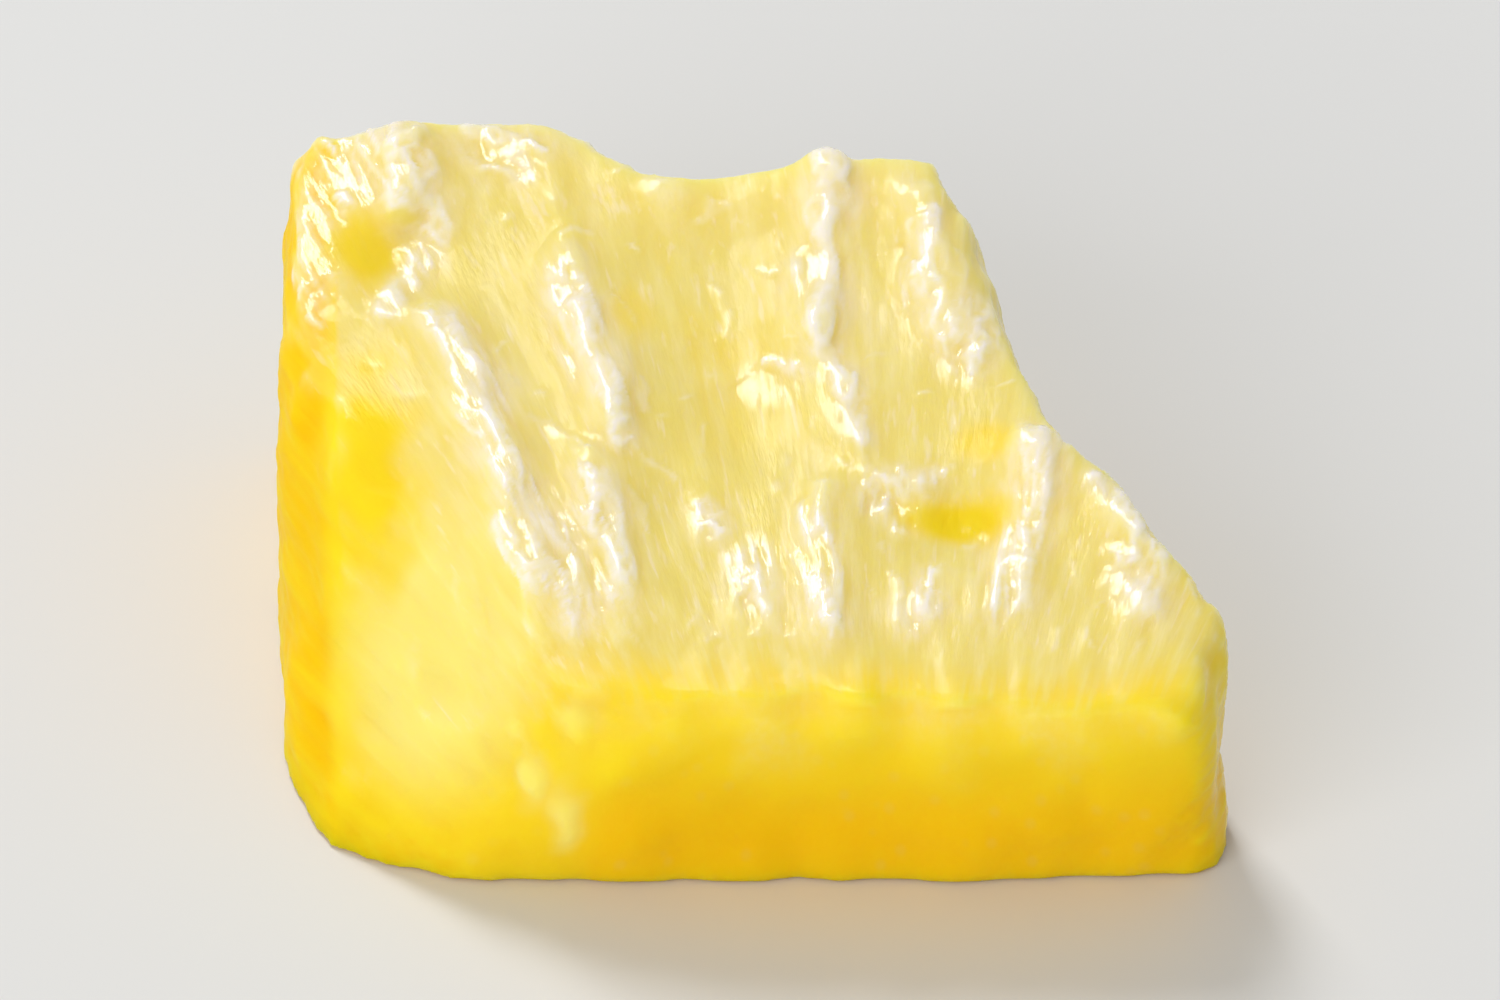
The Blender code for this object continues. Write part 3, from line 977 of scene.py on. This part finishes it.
def grain_normal(shade, open_face):
    """The finest grain of the flesh, which is strongest on the torn face."""
    grain = shade.times(shade.fibre_noise(*GRAIN), shade.ranged("grain", open_face))
    bump = shade.nodes.new("ShaderNodeBump")
    bump.inputs["Strength"].default_value = BUMP_STRENGTH
    bump.inputs["Distance"].default_value = BUMP_DISTANCE
    shade.feed(bump.inputs["Height"], grain)
    return bump.outputs["Normal"]


def flesh_material(look):
    material = bpy.data.materials.new("wet_pineapple_flesh")
    material.use_nodes = True
    shade = Shading(material)
    surface = shade.nodes["Principled BSDF"]
    chosen = (look.cream, look.straw, look.lemon, look.pale, look.yellow, look.golden)
    cream, straw, lemon, pale, yellow, golden = ((*colour, 1.0) for colour in chosen)
    torn = shade.attribute("torn")
    ridge = shade.attribute("ridge")
    open_face = shade.attribute("open")
    colour = cut_colour(shade, straw, lemon, yellow, golden)
    # The pale middle of the pared corner is painted light; the core's side is paler flesh in truth.
    colour = shade.blend(shade.times(shade.attribute("pale"), PALE_SHARE), colour, pale)
    # Whitish torn fibres, partly painted highlight on the ridges, crests and flecks.
    colour = shade.blend(whitish_share(shade, torn, ridge, open_face), colour, cream)
    # Seed chambers and ripe patches turn yellow; three of the patches are painted half shade.
    colour = shade.blend(shade.attribute("ripe_and_shaded"), colour, yellow)
    normal = grain_normal(shade, open_face)
    for name, value in FLESH_SURFACE.items():
        surface.inputs[name].default_value = value
    shade.feed(surface.inputs["Base Color"], colour)
    shade.feed(surface.inputs["Roughness"], shade.ranged("roughness", torn))
    shade.feed(surface.inputs["Coat Weight"], shade.attribute("wet"))
    shade.feed(surface.inputs["Subsurface Weight"], shade.ranged("subsurface", ridge))
    shade.feed(surface.inputs["Normal"], normal)
    shade.feed(surface.inputs["Coat Normal"], normal)
    return material


class PINEAPPLE_OT_flesh(bpy.types.Operator):
    """Makes the wedge of flesh from the solid wedge"""

    bl_idname = "pineapple.flesh"
    bl_label = "Flesh"

    def execute(self, context):
        look = context.scene.pineapple_flesh
        wedge = merged_copy(NODE)
        square_foot(wedge)
        mesh = fine_mesh(wedge, look.cell)
        let_wander(mesh, look.wander)
        natural = calm_forms(mesh, look.crispness)
        relax_folds(mesh)
        carve_fibres(mesh, look, natural)
        mesh = with_plain_foot(mesh)
        mesh.shade_smooth()
        mesh.materials.append(flesh_material(look))
        flesh = bpy.data.objects.new("pineapple_flesh", mesh)
        context.scene.collection.objects.link(flesh)
        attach(flesh, "root")
        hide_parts(NODE)
        return {"FINISHED"}


def add_softbox(name, place, size, power):
    """An area light that looks at the middle of the wedge from a place beside it."""
    data = bpy.data.lights.new(name, "AREA")
    data.shape = "RECTANGLE"
    data.size, data.size_y = size
    data.energy = power
    box = bpy.data.objects.new(name, data)
    box.location = MIDDLE + place
    box.rotation_euler = (-place).to_track_quat("-Z", "Y").to_euler()
    bpy.context.scene.collection.objects.link(box)


def add_camera(stage):
    data = bpy.data.cameras.new("camera")
    data.sensor_width = SENSOR_WIDTH
    data.lens = data.sensor_width * stage.distance / stage.view_width
    data.clip_start = NEAREST
    data.clip_end = FARTHEST
    camera = bpy.data.objects.new("camera", data)
    back = Vector((0.0, -math.cos(stage.elevation), math.sin(stage.elevation)))
    camera.location = MIDDLE + back * stage.distance
    camera.rotation_euler = (-back).to_track_quat("-Z", "Y").to_euler()
    bpy.context.scene.collection.objects.link(camera)
    bpy.context.scene.camera = camera


def add_floor(stage):
    shape = bmesh.new()
    bmesh.ops.create_grid(shape, x_segments=2, y_segments=2, size=FLOOR_HALF)
    mesh = bpy.data.meshes.new("floor")
    shape.to_mesh(mesh)
    shape.free()
    material = bpy.data.materials.new("pale_floor")
    material.use_nodes = True
    surface = material.node_tree.nodes["Principled BSDF"]
    surface.inputs["Base Color"].default_value = (*stage.floor, 1.0)
    surface.inputs["Roughness"].default_value = FLOOR_ROUGHNESS
    mesh.materials.append(material)
    mesh.transform(Matrix.Translation((0.0, 0.0, -FLOOR_DROP)))
    floor = bpy.data.objects.new("floor", mesh)
    bpy.context.scene.collection.objects.link(floor)


def add_room_light(strength):
    world = bpy.data.worlds.new("room")
    world.use_nodes = True
    background = world.node_tree.nodes["Background"]
    background.inputs["Color"].default_value = (1.0, 1.0, 1.0, 1.0)
    background.inputs["Strength"].default_value = strength
    bpy.context.scene.world = world


class PINEAPPLE_OT_stage(bpy.types.Operator):
    """Sets the pale floor, the soft lights and the camera"""

    bl_idname = "pineapple.stage"
    bl_label = "Stage"

    def execute(self, context):
        stage = context.scene.pineapple_stage
        add_camera(stage)
        add_floor(stage)
        add_softbox("key", KEY_PLACE, KEY_SIZE, stage.key)
        add_softbox("fill", FILL_PLACE, FILL_SIZE, stage.fill)
        add_room_light(stage.air)
        context.scene.view_settings.view_transform = "Standard"
        return {"FINISHED"}


class PINEAPPLE_PT_panel(bpy.types.Panel):
    bl_label = "Pineapple chunk"
    bl_idname = "PINEAPPLE_PT_panel"
    bl_space_type = "VIEW_3D"
    bl_region_type = "UI"
    bl_category = "Pineapple"

    def draw(self, context):
        for settings in (context.scene.pineapple_flesh, context.scene.pineapple_stage):
            for name in settings.__annotations__:
                self.layout.prop(settings, name)
        for operator in (PINEAPPLE_OT_flesh, PINEAPPLE_OT_stage):
            self.layout.operator(operator.bl_idname)


CLASSES = (
    PineappleFleshSettings,
    PineappleStageSettings,
    PINEAPPLE_OT_flesh,
    PINEAPPLE_OT_stage,
    PINEAPPLE_PT_panel,
)


def register():
    for made in CLASSES:
        bpy.utils.register_class(made)
    bpy.types.Scene.pineapple_flesh = PointerProperty(type=PineappleFleshSettings)
    bpy.types.Scene.pineapple_stage = PointerProperty(type=PineappleStageSettings)


def unregister():
    del bpy.types.Scene.pineapple_flesh
    del bpy.types.Scene.pineapple_stage
    for made in reversed(CLASSES):
        bpy.utils.unregister_class(made)


def main():
    register()
    bpy.ops.pineapple.stage()
    bpy.ops.pineapple.flesh()


if __name__ == "__main__":
    main()
